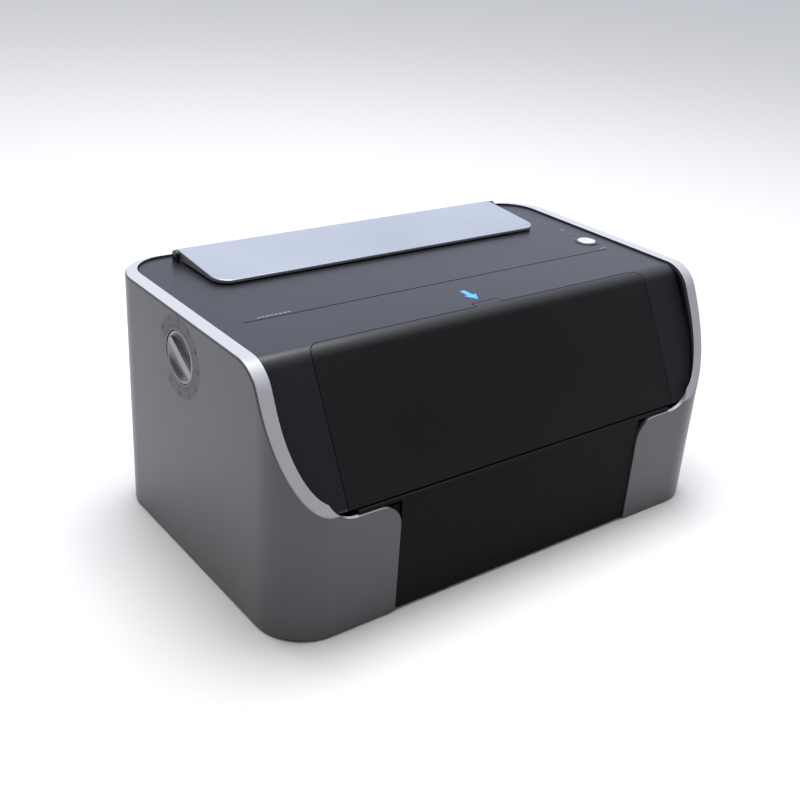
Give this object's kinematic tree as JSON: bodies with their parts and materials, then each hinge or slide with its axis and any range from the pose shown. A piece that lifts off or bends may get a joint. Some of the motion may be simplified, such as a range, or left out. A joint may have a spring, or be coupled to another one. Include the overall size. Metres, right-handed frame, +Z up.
{
  "type": "flatbed uv printer",
  "caption": "Desktop flatbed UV printer with silver wrap-round side panels, dark cover, drop-down front door, ink bay lid and side height dial.",
  "frame": {"origin": "on the floor under the middle of the casing", "axes": "+X to the machine's right along its width, -Y towards the front, +Z up"},
  "size_m": [0.556, 0.345, 0.2665],
  "materials": {
    "silver_paint": "metallic silver paint on a moulded shell",
    "silver_lid": "satin metallic silver paint",
    "dial_silver": "satin silver paint",
    "dark_cover": "fine textured charcoal",
    "door_plastic": "fine textured near black, soft sheen",
    "black_panel": "matte black",
    "black_trim": "gloss black",
    "black_moulding": "moulded black",
    "black_screw": "black oxide",
    "button_white": "silver-white satin",
    "circuit_board": "green solder mask",
    "cartridge": "moulded dark grey",
    "steel": "plain steel",
    "ground_steel": "ground hardened steel",
    "zinc_steel": "zinc plated sheet",
    "rubber": "matte rubber",
    "belt_rubber": "black toothed belt",
    "bronze": "sintered bronze",
    "motor_body": "black painted stepper motor",
    "translucent_tank": "natural polypropylene",
    "white_nylon": "natural nylon",
    "aluminium": "machined and anodised",
    "anodised_bed": "black anodised",
    "clear_film": "clear film with fine lines",
    "head_ceramic": "steel nozzle plate and housing",
    "lamp_glass": "clear quartz window"
  },
  "bodies": {
    "casing": {"left_side_panel": "silver_paint", "right_side_panel": "silver_paint", "case_screws": "black_screw", "top_cover": "dark_cover", "button_bezel": "black_trim", "control_board": "circuit_board", "hinge_pins": "steel", "ink_bay": "black_moulding", "ink_cartridges": "cartridge", "base_pan": "zinc_steel", "rubber_feet": "rubber", "front_panel": "black_panel", "rear_panel": "black_panel", "left_frame_plate": "zinc_steel", "right_frame_plate": "zinc_steel", "guide_lugs": "zinc_steel", "guide_rods": "ground_steel", "shaft_bushings": "bronze", "bed_end_plates": "zinc_steel", "bed_rods": "ground_steel", "bed_motor": "motor_body", "capping_station": "black_moulding", "cap_and_wiper": "rubber", "waste_tank": "translucent_tank", "power_supply": "zinc_steel", "main_board": "circuit_board", "fan_housing": "black_moulding", "power_inlet": "black_moulding", "usb_socket": "steel"},
    "door": {"front_door": "door_plastic"},
    "lid": {"ink_lid": "silver_lid"},
    "button": {"power_button": "button_white"},
    "dial": {"height_dial": "dial_silver", "dial_shaft": "ground_steel", "lift_cams": "white_nylon"},
    "gantry": {"gantry_beam": "aluminium", "beam_brackets": "zinc_steel", "beam_bushings": "bronze", "carriage_rail": "ground_steel", "encoder_strip": "clear_film", "x_motor": "motor_body", "x_belt": "belt_rubber"},
    "drive_pulley": {"drive_pulley": "aluminium"},
    "idler_pulley": {"idler_pulley": "aluminium"},
    "carriage": {"carriage_body": "black_moulding", "print_head": "head_ceramic", "ink_dampers": "cartridge", "carriage_bearing": "aluminium", "belt_clamp": "white_nylon", "uv_lamp": "black_moulding", "lamp_window": "lamp_glass", "lamp_heat_sink": "aluminium"},
    "bed": {"bed_plate": "anodised_bed", "bed_carriage": "aluminium", "bed_bushings": "aluminium", "screw_nut": "bronze"},
    "bed_screw": {"bed_screw": "ground_steel", "shaft_coupler": "aluminium"},
    "fan": {"fan_rotor": "black_moulding"},
    "rocker": {"rocker_switch": "black_trim"}
  },
  "joints": [
    {"name": "front_door_hinge", "type": "hinge", "parent": "casing", "child": "door", "pos_m": [0, -0.155, 0.134], "axis": [1, 0, 0], "range_deg": [0, 105]},
    {"name": "ink_lid_hinge", "type": "hinge", "parent": "casing", "child": "lid", "pos_m": [0, 0.154, 0.2612], "axis": [-1, 0, 0], "range_deg": [0, 100]},
    {"name": "power_button_press", "type": "slide", "parent": "casing", "child": "button", "axis": [0, 0, -1], "range_m": [0, 0.002], "stiffness_N_per_m": 400, "springref_m": -0.001},
    {"name": "height_dial_turn", "type": "hinge", "parent": "casing", "child": "dial", "pos_m": [0, 0.0195, 0.214], "axis": [1, 0, 0], "range_deg": [0, 270]},
    {"name": "gantry_lift", "type": "slide", "parent": "casing", "child": "gantry", "axis": [0, 0, 1], "range_m": [0, 0.009]},
    {"name": "carriage_slide", "type": "slide", "parent": "gantry", "child": "carriage", "axis": [-1, 0, 0], "range_m": [0, 0.33]},
    {"name": "drive_pulley_spin", "type": "hinge", "parent": "gantry", "child": "drive_pulley", "pos_m": [-0.196, -0.002, 0.174], "axis": [0, 0, 1], "range_deg": [-2400, 2400]},
    {"name": "idler_pulley_spin", "type": "hinge", "parent": "gantry", "child": "idler_pulley", "pos_m": [0.196, -0.002, 0.174], "axis": [0, 0, 1], "range_deg": [-2400, 2400]},
    {"name": "bed_slide", "type": "slide", "parent": "casing", "child": "bed", "axis": [0, 1, 0], "range_m": [0, 0.15]},
    {"name": "bed_screw_spin", "type": "hinge", "parent": "casing", "child": "bed_screw", "pos_m": [0, -0.05, 0.062], "axis": [0, 1, 0], "range_deg": [-2800, 2800]},
    {"name": "fan_spin", "type": "hinge", "parent": "casing", "child": "fan", "pos_m": [-0.12, 0.155, 0.15], "axis": [0, 1, 0], "continuous": true},
    {"name": "rocker_tilt", "type": "hinge", "parent": "casing", "child": "rocker", "pos_m": [0.14, 0.166, 0.072], "axis": [-1, 0, 0], "range_deg": [0, 12]}
  ],
  "couplings": [
    {"joint": "height_dial_turn", "follows": "gantry_lift", "rad_per_m": 523.6},
    {"joint": "drive_pulley_spin", "follows": "carriage_slide", "rad_per_m": -120.48},
    {"joint": "idler_pulley_spin", "follows": "carriage_slide", "rad_per_m": -120.48},
    {"joint": "bed_screw_spin", "follows": "bed_slide", "rad_per_m": 314.16}
  ]
}
